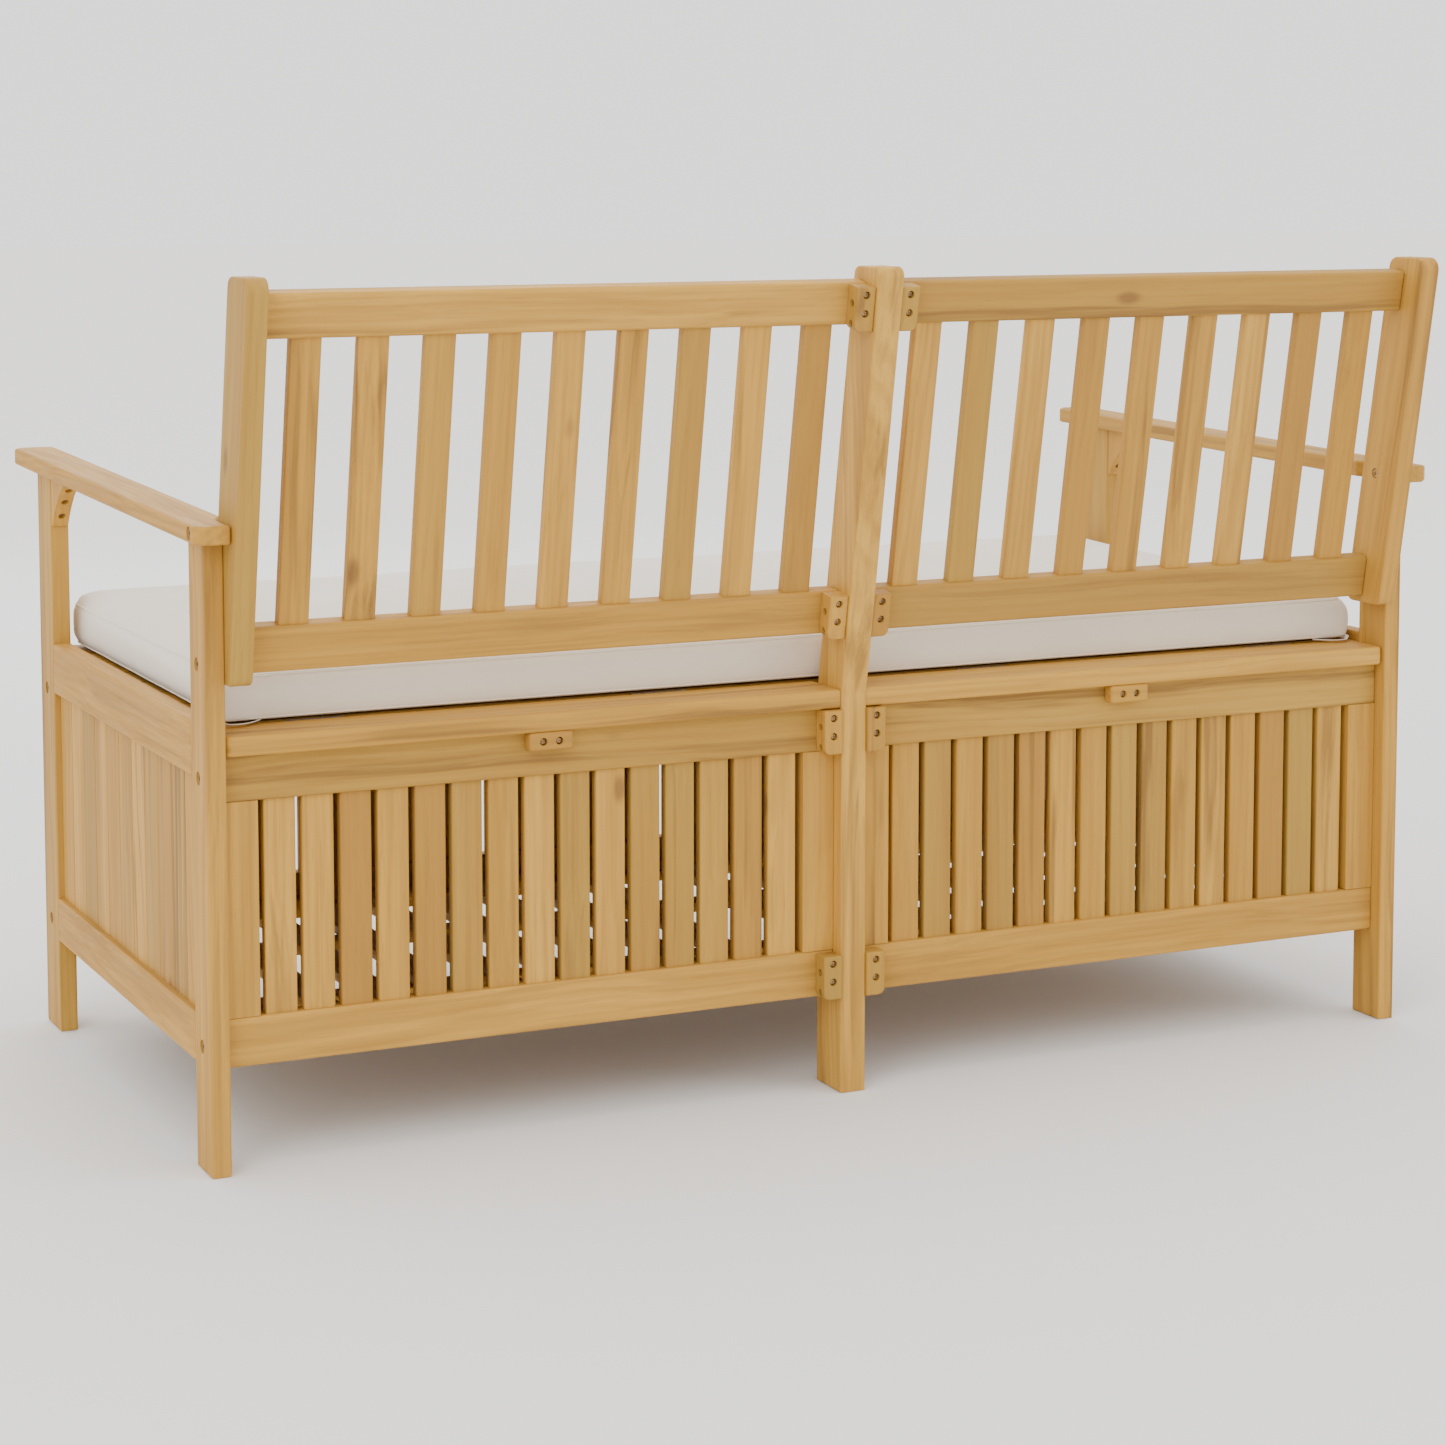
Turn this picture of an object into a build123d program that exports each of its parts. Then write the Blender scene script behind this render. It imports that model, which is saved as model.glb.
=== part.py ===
from build123d import *
import os
from math import cos, radians, sin, tan

os.makedirs("parts", exist_ok=True)

# Garden bench whose seat is the lid of a slatted storage box.
# X runs along the bench (+X is the sitter's left), -Y is the front, +Z is up.
# The origin lies on the ground, at the middle of the bench's outline. Millimetres.

# ---- driving dimensions ------------------------------------------------------------
LEG_SPAN = 1380          # outer face to outer face of the end legs
BOARD = 20               # thickness of legs, rails and lid slats
THIN = 12                # thickness of panel, backrest and floor slats
EDGE = 2                 # rounding of long edges
SOFT_EDGE = 3            # rounding of the edges that hands meet

FRONT = -341             # front face of the front legs
REAR = 307               # rear face of the rear legs
FRONT_LEG_DEPTH = 58
REAR_LEG_DEPTH = 50
PANEL_RECESS = 17        # front and rear panels lie this far inside the legs' faces

LOW_RAIL_Z = (101, 149)
TOP_RAIL_Z = (360, 406)
SIDE_LOW_RAIL_Z = (103, 151)
SIDE_TOP_RAIL_Z = (382, 437)
TENON = 8                # how far slats and boards enter their rails
RAIL_TENON = 15          # how far side rails enter the legs

POST_WIDTH = 29          # centre back post
POST_DEPTH = 56
KINK_Z = 420             # where the centre post starts to lean back
LEAN = 10.4              # lean of the backrest, degrees
POST_TOP_Z = 864
POST_FRONT = REAR - POST_DEPTH
END_POST_WIDTH = 22
END_POST_DEPTH = 62
END_POST_FOOT_Z = 476

BACK_RAIL_SET = 11       # backrest rails lie this far behind the posts' front faces
BACK_LOW_RAIL = (70, 116)     # measured up the slope from the kink
BACK_TOP_RAIL = (397, 441)
BACK_SLATS = 9           # in each bay
BACK_SLAT_WIDTH = 31

PANEL_SLATS = 15         # in each rear bay
PANEL_SLAT_WIDTH = 32
SLIT = 6.5
FRONT_SLATS = 33
SIDE_BOARDS = 11
SIDE_BOARD_GAP = 1.6

ARM_THICK = 18
ARM_FRONT = -392
ARM_REAR = 336
ARM_REAR_Z = 613         # underside at the rear end
ARM_RISE = 1.22          # slope up to the front, degrees
ARM_OUTER = 705
ARM_WIDTH = 46

SEAT_RAIL_DEPTH = 64.5
SEAT_RAIL_CORNER = 9
SEAT_Z = (406, 426)
LID_FRONT = FRONT
LID_GAP = 16             # between the lid and the legs, so that it rises between the armrests
CLEAT_WIDTH = 30
LID_SLATS = 8
HINGE_GAP = 8            # between the lid and the rear seat rails
HINGE_AXIS_Z = 422
LEAF = 1.5
KNUCKLE_RADIUS = 4
PIN_RADIUS = 2
PIN_CLEARANCE = 0.05
HINGE_LENGTH = 60
HINGE_X = (-560, -190, 190, 560)

FLOOR_Z = (112, 124)
FLOOR_BEARER_Y = (-131, 97)
CUSHION_Z = (426, 484)
CUSHION_EDGE = 16
CUSHION_Y = (-336, 246)
CUSHION_HALF = 658

# ---- worked out from them ----------------------------------------------------------
OUT = LEG_SPAN / 2
IN = OUT - BOARD
POST_HALF = POST_WIDTH / 2
PANEL_REAR = REAR - PANEL_RECESS
PANEL_FRONT = FRONT + PANEL_RECESS
REAR_LEG_FRONT = REAR - REAR_LEG_DEPTH
FRONT_LEG_REAR = FRONT + FRONT_LEG_DEPTH
SEAT_RAIL_REAR = REAR - 2
SEAT_RAIL_FRONT = SEAT_RAIL_REAR - SEAT_RAIL_DEPTH
LID_REAR = SEAT_RAIL_FRONT - HINGE_GAP
HINGE_AXIS_Y = LID_REAR + HINGE_GAP / 2
SLAT_PITCH = PANEL_SLAT_WIDTH + SLIT
BACK_PITCH = (IN - END_POST_WIDTH - POST_HALF) / (BACK_SLATS + 0.45)
BACK_SLAT_X = [POST_HALF + (i + 0.725) * BACK_PITCH for i in range(BACK_SLATS)]
BACK_FRAME = Location((0, POST_FRONT, KINK_Z), (-LEAN, 0, 0))
BACK_RAIL_Y = (BACK_RAIL_SET, BACK_RAIL_SET + BOARD)


# ---- helpers -----------------------------------------------------------------------
def box(x, y, z):
    """Plain box between two corners."""
    size = (x[1] - x[0], y[1] - y[0], z[1] - z[0])
    return Pos(x[0], y[0], z[0]) * Box(*size, align=(Align.MIN, Align.MIN, Align.MIN))


def board(x, y, z, edge=EDGE):
    """Board between two corners, with all its edges rounded."""
    solid = box(x, y, z)
    return fillet(solid.edges(), edge)


def side_profile(points, x, top_round=None, foot_round=None, edge=EDGE):
    """Board cut to an outline in the YZ plane, its highest and lowest corners rounded if asked."""
    outline = Polygon(*points, align=None)
    if top_round:
        outline = fillet(outline.vertices().sort_by(Axis.Y)[-2:], top_round)
    if foot_round:
        outline = fillet(outline.vertices().sort_by(Axis.Y)[:2], foot_round)
    solid = extrude(Plane.YZ.offset(x[0]) * outline, x[1] - x[0])
    faces = solid.faces().sort_by(Axis.X)
    return fillet(faces[0].edges() + faces[-1].edges(), edge)


def mirrored(solids):
    return [mirror(solid, about=Plane.YZ) for solid in solids]


def save(name, solids):
    """Write one node; a group of separate solids becomes one compound."""
    pieces = [solid for item in solids for solid in item.solids()]
    export_step(pieces[0] if len(pieces) == 1 else Compound(pieces), f"parts/{name}.step")


def save_pair(name, solids):
    save(f"{name}_left", solids)
    save(f"{name}_right", mirrored(solids))


def arm_underside(y):
    return ARM_REAR_Z + (ARM_REAR - y) * tan(radians(ARM_RISE))


def aimed(point, direction):
    """Frame at a point whose +Z is the way out of the wood."""
    return Plane(origin=point, z_dir=direction)


class Fastener:
    """A screw or bolt sunk in a counterbore: its hole and its solid."""

    def __init__(self, point, direction, length, head=3.4, sink=5.5, shank=2):
        self.frame = aimed(point, direction)
        self.length, self.head, self.sink, self.shank = length, head, sink, shank

    def hole(self):
        """Counterbore and pilot hole, to be cut from every board on the way."""
        mouth = Cylinder(self.head + 0.6, self.sink + 1, align=(Align.CENTER, Align.CENTER, Align.MIN))
        pilot = Cylinder(self.shank, self.length, align=(Align.CENTER, Align.CENTER, Align.MAX))
        return self.frame * (Pos(0, 0, -self.sink) * mouth + pilot)

    def solid(self):
        """Domed head with a cross recess, on its shank."""
        top = -self.sink * 0.4
        head = Cylinder(self.head, self.sink * 0.6, align=(Align.CENTER, Align.CENTER, Align.MIN))
        head = fillet(head.edges().sort_by(Axis.Z)[-1], self.sink * 0.3)
        slot = Box(self.head * 1.1, self.head * 0.26, 1.2) + Box(self.head * 0.26, self.head * 1.1, 1.2)
        shank = Cylinder(self.shank, self.length - self.sink, align=(Align.CENTER, Align.CENTER, Align.MAX))
        piece = Pos(0, 0, -self.sink) * (head + shank) - Pos(0, 0, top - 0.3) * slot
        return self.frame * piece


def drilled(solid, fasteners):
    return solid - [fastener.hole() for fastener in fasteners]


# ---- fasteners ---------------------------------------------------------------------
def leg_bolts():
    """Bolts through the outer face of the left legs into the rail ends behind them."""
    rear_y = PANEL_REAR - BOARD / 2
    front_y = PANEL_FRONT + BOARD / 2
    spots = [(rear_y, 494), (rear_y, 384), (rear_y, 123), (front_y, 384), (front_y, 123)]
    return [Fastener((OUT, y, z), (1, 0, 0), 70, head=6.2, sink=3.5, shank=3) for y, z in spots]


ARM_BOLT_Y, ARM_BOLT_Z = 312, 623
BOLTS = leg_bolts()
ARM_BOLT = Fastener((ARM_OUTER, ARM_BOLT_Y, ARM_BOLT_Z), (1, 0, 0), 46, head=6.2, sink=3.5, shank=3)
ARM_NUT = Fastener((IN - END_POST_WIDTH, ARM_BOLT_Y, ARM_BOLT_Z), (-1, 0, 0), 11, head=5, sink=2.5, shank=4)

BRACKET_FACE = (119, -128, 135.5)     # centre (Y, Z) of its arc from the corner under the armrest, radius
BRACKET_DEGREES = (118, 133.5, 149)   # where the arc starts, its middle and its end


def bracket_point(degrees):
    """Point of the bracket's curved face and the way out of the wood there."""
    y, z, radius = BRACKET_FACE
    out = (-cos(radians(degrees)), -sin(radians(degrees)))
    return (FRONT_LEG_REAR + y - radius * out[0], arm_underside(FRONT_LEG_REAR) + z - radius * out[1]), out


def bracket_screws():
    """Three screws in the curved face of the armrest bracket."""
    screws = []
    for degrees, length in ((124, 28), (133.5, 45), (143, 34)):
        (y, z), out = bracket_point(degrees)
        screws.append(Fastener((OUT - BOARD / 2, y, z), (0, *out), length))
    return screws


BLOCK = 21               # width and depth of the corner blocks
BLOCK_HEIGHT = 46
BLOCK_CORNER = 7


def block_screws(x0, y0, z0):
    """Two screws through a corner block's rear face and two through its end face."""
    rear = [Fastener((x0 + BLOCK / 2, y0 + BLOCK, z0 + z), (0, 1, 0), 36) for z in (19, 38)]
    end = [Fastener((x0 + BLOCK, y0 + BLOCK / 2, z0 + z), (1, 0, 0), 31) for z in (7, 28)]
    return rear + end


def corner_block(x0, y0, z0):
    """Block with its lower outer corner rounded further than the rest."""
    block = box((x0, x0 + BLOCK), (y0, y0 + BLOCK), (z0, z0 + BLOCK_HEIGHT))
    lower_outer = block.edges().filter_by(Axis.Y).sort_by(lambda edge: edge.center().X - edge.center().Z)[-1]
    block = fillet(lower_outer, BLOCK_CORNER)
    faces = block.faces().sort_by(Axis.Y)
    block = fillet(faces[0].edges() + faces[-1].edges(), EDGE)
    return drilled(block, block_screws(x0, y0, z0))


PANEL_BLOCKS = [(POST_HALF, PANEL_REAR, z) for z in (TOP_RAIL_Z[0] - 1, LOW_RAIL_Z[0])]
BACK_BLOCKS = [(POST_HALF, BACK_RAIL_Y[1], v) for v in (BACK_LOW_RAIL[0], BACK_TOP_RAIL[0] - 3)]
PANEL_BLOCK_SCREWS = [screw for spot in PANEL_BLOCKS for screw in block_screws(*spot)]
BACK_BLOCK_SCREWS = [screw for spot in BACK_BLOCKS for screw in block_screws(*spot)]

SEAT_BLOCK_X = (313, 360)
SEAT_BLOCK_Z = (387, 406)
SEAT_BLOCK_DEPTH = 15
SEAT_BLOCK_SCREWS = [
    Fastener((x, PANEL_REAR + SEAT_BLOCK_DEPTH, sum(SEAT_BLOCK_Z) / 2), (0, 1, 0), 28)
    for x in (SEAT_BLOCK_X[0] + 15, SEAT_BLOCK_X[1] - 15)
]


# ---- legs and posts ----------------------------------------------------------------
def side_rail_tenons(y, z):
    """Tenons at both ends of a side rail."""
    return box((IN + 6, OUT - 6), (y[0] - RAIL_TENON, y[1] + RAIL_TENON), (z[0] + 8, z[1] - 8))


SIDE_Y = (FRONT_LEG_REAR, REAR_LEG_FRONT)
SIDE_TENONS = [side_rail_tenons(SIDE_Y, z) for z in (SIDE_LOW_RAIL_Z, SIDE_TOP_RAIL_Z)]


def leg(y0, y1):
    """Upright board cut along the slope of the armrest above it."""
    points = [(y0, 0), (y1, 0), (y1, arm_underside(y1)), (y0, arm_underside(y0))]
    solid = side_profile(points, (IN, OUT)) - SIDE_TENONS
    return drilled(solid, BOLTS + bracket_screws())


def lean_y(z):
    """Front face of the leaning posts at height z."""
    return POST_FRONT + (z - KINK_Z) * tan(radians(LEAN))


def centre_post():
    """Straight up to the kink, then leaning back with the backrest."""
    top_y = lean_y(POST_TOP_Z)
    points = [(POST_FRONT, 0), (REAR, 0), (REAR, KINK_Z), (top_y + POST_DEPTH, POST_TOP_Z),
              (top_y, POST_TOP_Z), (POST_FRONT, KINK_Z)]
    solid = side_profile(points, (-POST_HALF, POST_HALF), top_round=10)
    half_holes = [screw.hole() for screw in PANEL_BLOCK_SCREWS]
    half_holes += [BACK_FRAME * screw.hole() for screw in BACK_BLOCK_SCREWS]
    return solid - half_holes - mirrored(half_holes)


def end_post():
    """Leaning post bolted inside the rear leg; both its ends are cut level and rounded."""
    foot_y, top_y = lean_y(END_POST_FOOT_Z), lean_y(POST_TOP_Z)
    points = [(foot_y, END_POST_FOOT_Z), (foot_y + END_POST_DEPTH, END_POST_FOOT_Z),
              (top_y + END_POST_DEPTH, POST_TOP_Z), (top_y, POST_TOP_Z)]
    solid = side_profile(points, (IN - END_POST_WIDTH, IN), top_round=13, foot_round=10)
    return drilled(solid, BOLTS + [ARM_BOLT, ARM_NUT]) - back_rail_tenons()


# ---- armrests ----------------------------------------------------------------------
def armrest():
    """Sloping board, narrowed at the rear to pass outside the end post."""
    slab_points = [(ARM_FRONT, arm_underside(ARM_FRONT)), (ARM_REAR, arm_underside(ARM_REAR)),
                   (ARM_REAR, arm_underside(ARM_REAR) + ARM_THICK),
                   (ARM_FRONT, arm_underside(ARM_FRONT) + ARM_THICK)]
    inner = ARM_OUTER - ARM_WIDTH
    slab = extrude(Plane.YZ.offset(inner) * Polygon(*slab_points, align=None), ARM_WIDTH)
    corner = 9
    plan_points = [(inner + corner, ARM_FRONT), (ARM_OUTER - corner, ARM_FRONT),
                   (ARM_OUTER, ARM_FRONT + corner), (ARM_OUTER, ARM_REAR - corner),
                   (ARM_OUTER - corner, ARM_REAR), (IN + 0.5, ARM_REAR), (IN + 0.5, 283),
                   (inner, 262), (inner, ARM_FRONT + corner)]
    plan = extrude(Pos(0, 0, 500) * Polygon(*plan_points, align=None), 300)
    solid = slab & plan
    solid = fillet(solid.edges(), SOFT_EDGE)
    return drilled(solid, [ARM_BOLT] + bracket_screws())


def arm_bracket():
    """Brace with a hollow curved face in the corner between the front leg and the armrest."""
    start, middle, end = [bracket_point(degrees)[0] for degrees in BRACKET_DEGREES]
    y0 = FRONT_LEG_REAR
    outline = Polyline(end, (y0, end[1]), (y0, arm_underside(y0)), (start[0], arm_underside(start[0])), start)
    outline += ThreePointArc(start, middle, end)
    solid = extrude(Plane.YZ.offset(IN + 1) * make_face(outline), BOARD - 2)
    solid = fillet(solid.faces().sort_by(Axis.X)[0].edges(), 1)
    return drilled(solid, bracket_screws())


# ---- backrest (built upright, then leant back) ----------------------------------------
def back_slat_boxes(edge=None):
    y0 = BACK_RAIL_Y[0] + (BOARD - THIN) / 2
    z = (BACK_LOW_RAIL[1] - TENON, BACK_TOP_RAIL[0] + TENON)
    slats = []
    for x in BACK_SLAT_X:
        span = (x - BACK_SLAT_WIDTH / 2, x + BACK_SLAT_WIDTH / 2)
        slats.append(board(span, (y0, y0 + THIN), z, edge) if edge else box(span, (y0, y0 + THIN), z))
    return slats


def back_rail_tenons():
    """Tenons of the backrest rails inside the left end post."""
    y = (BACK_RAIL_Y[0] + 5, BACK_RAIL_Y[1] - 5)
    x = (IN - END_POST_WIDTH, IN - END_POST_WIDTH + 12)
    return [BACK_FRAME * box(x, y, (v[0] + 8, v[1] - 8)) for v in (BACK_LOW_RAIL, BACK_TOP_RAIL)]


def back_rail(v):
    rail = board((POST_HALF, IN - END_POST_WIDTH), BACK_RAIL_Y, v, SOFT_EDGE) - back_slat_boxes()
    rail = BACK_FRAME * drilled(rail, BACK_BLOCK_SCREWS)
    tenon = back_rail_tenons()[0 if v == BACK_LOW_RAIL else 1]
    return drilled(rail + tenon, BOLTS)


# ---- panels ------------------------------------------------------------------------
def panel_slats(first, count, y, z, edge=None):
    """Row of upright slats; without an edge they are the plain mortises for it."""
    slats = []
    for i in range(count):
        x = (first + i * SLAT_PITCH, first + i * SLAT_PITCH + PANEL_SLAT_WIDTH)
        slats.append(board(x, y, z, edge) if edge else box(x, y, z))
    return slats


SLAT_Z = (LOW_RAIL_Z[1] - TENON, TOP_RAIL_Z[0] + TENON)
REAR_SLAT_Y = (PANEL_REAR - 4 - THIN, PANEL_REAR - 4)
FRONT_SLAT_Y = (PANEL_FRONT + 4, PANEL_FRONT + 4 + THIN)
REAR_STILE = (IN - POST_HALF - PANEL_SLATS * SLAT_PITCH - SLIT) / 2
REAR_FIRST = POST_HALF + REAR_STILE + SLIT
FRONT_FIRST = -(FRONT_SLATS * SLAT_PITCH - SLIT) / 2
FRONT_STILE_X = (-FRONT_FIRST + SLIT, IN)


def rear_rail(z):
    rail = board((POST_HALF, IN), (PANEL_REAR - BOARD, PANEL_REAR), z)
    rail = rail - panel_slats(REAR_FIRST, PANEL_SLATS, REAR_SLAT_Y, SLAT_Z)
    return drilled(rail, PANEL_BLOCK_SCREWS + SEAT_BLOCK_SCREWS + BOLTS)


def rear_stiles():
    y = (PANEL_REAR - BOARD, PANEL_REAR)
    z = (LOW_RAIL_Z[1], TOP_RAIL_Z[0])
    return [board((POST_HALF, POST_HALF + REAR_STILE), y, z, 1), board((IN - REAR_STILE, IN), y, z, 1)]


def front_rail(z):
    rail = board((-IN, IN), (PANEL_FRONT, PANEL_FRONT + BOARD), z)
    rail = rail - panel_slats(FRONT_FIRST, FRONT_SLATS, FRONT_SLAT_Y, SLAT_Z)
    holes = [bolt.hole() for bolt in BOLTS]
    return rail - holes - mirrored(holes)


def side_boards(edge=None):
    width = (SIDE_Y[1] - SIDE_Y[0]) / SIDE_BOARDS
    z = (SIDE_LOW_RAIL_Z[1] - TENON, SIDE_TOP_RAIL_Z[0] + TENON)
    x = (IN + 1, IN + 1 + THIN)
    starts = [SIDE_Y[0] + i * width for i in range(SIDE_BOARDS)]
    spans = [(y + SIDE_BOARD_GAP / 2, y + width - SIDE_BOARD_GAP / 2) for y in starts]
    return [board(x, y, z, edge) if edge else box(x, y, z) for y in spans]


def side_rail(z):
    return board((IN, OUT), SIDE_Y, z) + side_rail_tenons(SIDE_Y, z) - side_boards()


# ---- floor -------------------------------------------------------------------------
LEDGE_Z = (FLOOR_Z[0] - THIN, FLOOR_Z[0])
INSIDE_Y = (PANEL_FRONT + BOARD, PANEL_REAR - BOARD)


def floor_slats():
    left = [board((x - BACK_SLAT_WIDTH / 2, x + BACK_SLAT_WIDTH / 2), INSIDE_Y, FLOOR_Z, EDGE)
            for x in BACK_SLAT_X]
    return left + mirrored(left)


def floor_bearers():
    return [board((-IN, IN), (y - 15, y + 15), LEDGE_Z, EDGE) for y in FLOOR_BEARER_Y]


def floor_ledges():
    """Strips on the panels' bottom rails that carry the ends of the floor slats."""
    front = board((-IN, IN), (INSIDE_Y[0], INSIDE_Y[0] + BOARD), LEDGE_Z, EDGE)
    rear = board((POST_HALF, IN), (INSIDE_Y[1] - BOARD, INSIDE_Y[1]), LEDGE_Z, EDGE)
    return [front, rear] + mirrored([rear])


# ---- seat and lid --------------------------------------------------------------------
def seat_rear_rail():
    """Board behind the lid; its outer rear corner is rounded in plan."""
    rail = box((POST_HALF + 0.5, IN), (SEAT_RAIL_FRONT, SEAT_RAIL_REAR), SEAT_Z)
    outer_rear = rail.edges().filter_by(Axis.Z).sort_by(lambda edge: edge.center().X + edge.center().Y)[-1]
    rail = fillet(outer_rear, SEAT_RAIL_CORNER)
    faces = rail.faces().sort_by(Axis.Z)
    return fillet(faces[0].edges() + faces[-1].edges(), SOFT_EDGE)


def lid_slats():
    half = IN - LID_GAP
    width = (LID_REAR - LID_FRONT - (LID_SLATS - 1) * SLIT) / LID_SLATS
    starts = [LID_FRONT + i * (width + SLIT) for i in range(LID_SLATS)]
    return [board((-half, half), (y, y + width), SEAT_Z) for y in starts]


BATTEN_Y = (INSIDE_Y[0] + 6, LID_REAR - 12)
BATTEN_WIDTH = 40


def lid_battens():
    return [board((x - BATTEN_WIDTH / 2, x + BATTEN_WIDTH / 2), BATTEN_Y, (SEAT_Z[0] - BOARD, SEAT_Z[0]))
            for x in (-470, -90, 90, 470)]


CLEAT_Y = (FRONT_LEG_REAR, LID_REAR)


def seat_cleat():
    return board((IN - CLEAT_WIDTH, IN), CLEAT_Y, (SEAT_Z[0] - BOARD, SEAT_Z[0]))


# ---- hinges ------------------------------------------------------------------------
KNUCKLES = 5             # odd ones belong to the lid


def knuckle(x0, x1):
    return Pos((x0 + x1) / 2, HINGE_AXIS_Y, HINGE_AXIS_Z) * Rot(0, 90, 0) * Cylinder(
        KNUCKLE_RADIUS, x1 - x0)


def hinge_leaf(x, side):
    """One leaf against a vertical edge, with its share of the knuckles around the pin."""
    face = SEAT_RAIL_FRONT - LEAF if side == "seat" else LID_REAR
    start = x - HINGE_LENGTH / 2
    step = HINGE_LENGTH / KNUCKLES
    plate = box((start, start + HINGE_LENGTH), (face, face + LEAF), (SEAT_Z[0], HINGE_AXIS_Z))
    mine = range(0, KNUCKLES, 2) if side == "seat" else range(1, KNUCKLES, 2)
    others = [i for i in range(KNUCKLES) if i not in mine]
    leaf = plate - [
        Pos(start + (i + 0.5) * step, HINGE_AXIS_Y, HINGE_AXIS_Z) * Rot(0, 90, 0)
        * Cylinder(KNUCKLE_RADIUS + 0.6, step + 0.4)
        for i in others
    ]
    for i in mine:
        leaf += knuckle(start + i * step + 0.2, start + (i + 1) * step - 0.2)
    bore = Pos(x, HINGE_AXIS_Y, HINGE_AXIS_Z) * Rot(0, 90, 0) * Cylinder(
        PIN_RADIUS + (0 if side == "seat" else PIN_CLEARANCE), HINGE_LENGTH + 10)
    return leaf - bore


def hinge_pin(x):
    pin = Cylinder(PIN_RADIUS, HINGE_LENGTH + 1)
    return Pos(x, HINGE_AXIS_Y, HINGE_AXIS_Z) * Rot(0, 90, 0) * fillet(pin.edges(), 0.4)


# ---- cushion -------------------------------------------------------------------------
def cushion():
    solid = box((-CUSHION_HALF, CUSHION_HALF), CUSHION_Y, CUSHION_Z)
    solid = fillet(solid.edges().filter_by(Axis.Z), 20)
    faces = solid.faces().sort_by(Axis.Z)
    solid = fillet(faces[0].edges(), CUSHION_EDGE / 2)
    return fillet(solid.faces().sort_by(Axis.Z)[-1].edges(), CUSHION_EDGE)


# ---- write every node ------------------------------------------------------------------
def build():
    save_pair("rear_leg", [leg(REAR_LEG_FRONT, REAR)])
    save_pair("front_leg", [leg(FRONT, FRONT_LEG_REAR)])
    save("centre_back_post", [centre_post()])
    save_pair("back_post", [end_post()])
    save_pair("armrest", [armrest()])
    save_pair("arm_bracket", [arm_bracket()])

    save_pair("back_lower_rail", [back_rail(BACK_LOW_RAIL)])
    save_pair("back_top_rail", [back_rail(BACK_TOP_RAIL)])
    save_pair("back_slats", [BACK_FRAME * slat for slat in back_slat_boxes(EDGE)])

    save_pair("rear_top_rail", [rear_rail(TOP_RAIL_Z)])
    save_pair("rear_bottom_rail", [rear_rail(LOW_RAIL_Z)])
    save_pair("rear_stiles", rear_stiles())
    save_pair("rear_slats", panel_slats(REAR_FIRST, PANEL_SLATS, REAR_SLAT_Y, SLAT_Z, EDGE))
    save("front_top_rail", [front_rail(TOP_RAIL_Z)])
    save("front_bottom_rail", [front_rail(LOW_RAIL_Z)])
    stile = board(FRONT_STILE_X, (PANEL_FRONT, PANEL_FRONT + BOARD), (LOW_RAIL_Z[1], TOP_RAIL_Z[0]), 1)
    save("front_stiles", [stile] + mirrored([stile]))
    save("front_slats", panel_slats(FRONT_FIRST, FRONT_SLATS, FRONT_SLAT_Y, SLAT_Z, EDGE))
    save_pair("side_top_rail", [side_rail(SIDE_TOP_RAIL_Z)])
    save_pair("side_bottom_rail", [side_rail(SIDE_LOW_RAIL_Z)])
    save_pair("side_boards", side_boards(1.2))

    save("floor_slats", floor_slats())
    save("floor_bearers", floor_bearers())
    save("floor_ledges", floor_ledges())
    save_pair("seat_rear_rail", [seat_rear_rail()])
    save_pair("lid_cleat", [seat_cleat()])

    panel_blocks = [corner_block(*spot) for spot in PANEL_BLOCKS]
    back_blocks = [BACK_FRAME * corner_block(*spot) for spot in BACK_BLOCKS]
    save_pair("corner_blocks", panel_blocks + back_blocks)
    seat_block = board(SEAT_BLOCK_X, (PANEL_REAR, PANEL_REAR + SEAT_BLOCK_DEPTH), SEAT_BLOCK_Z, SOFT_EDGE)
    seat_block = drilled(seat_block, SEAT_BLOCK_SCREWS)
    save("seat_rail_blocks", [seat_block] + mirrored([seat_block]))

    screws = [screw.solid() for screw in PANEL_BLOCK_SCREWS + SEAT_BLOCK_SCREWS + bracket_screws()]
    screws += [BACK_FRAME * screw.solid() for screw in BACK_BLOCK_SCREWS]
    save("wood_screws", screws + mirrored(screws))
    bolts = [bolt.solid() for bolt in BOLTS + [ARM_BOLT, ARM_NUT]]
    save("frame_bolts", bolts + mirrored(bolts))

    save("lid_slats", lid_slats())
    save("lid_battens", lid_battens())
    save("hinge_seat_leaves", [hinge_leaf(x, "seat") for x in HINGE_X])
    save("hinge_lid_leaves", [hinge_leaf(x, "lid") for x in HINGE_X])
    save("hinge_pins", [hinge_pin(x) for x in HINGE_X])
    save("cushion", [cushion()])


build()
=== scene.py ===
import math
import bmesh
import bpy
from mathutils import Euler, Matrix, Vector, noise
from mathutils.bvhtree import BVHTree


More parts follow.
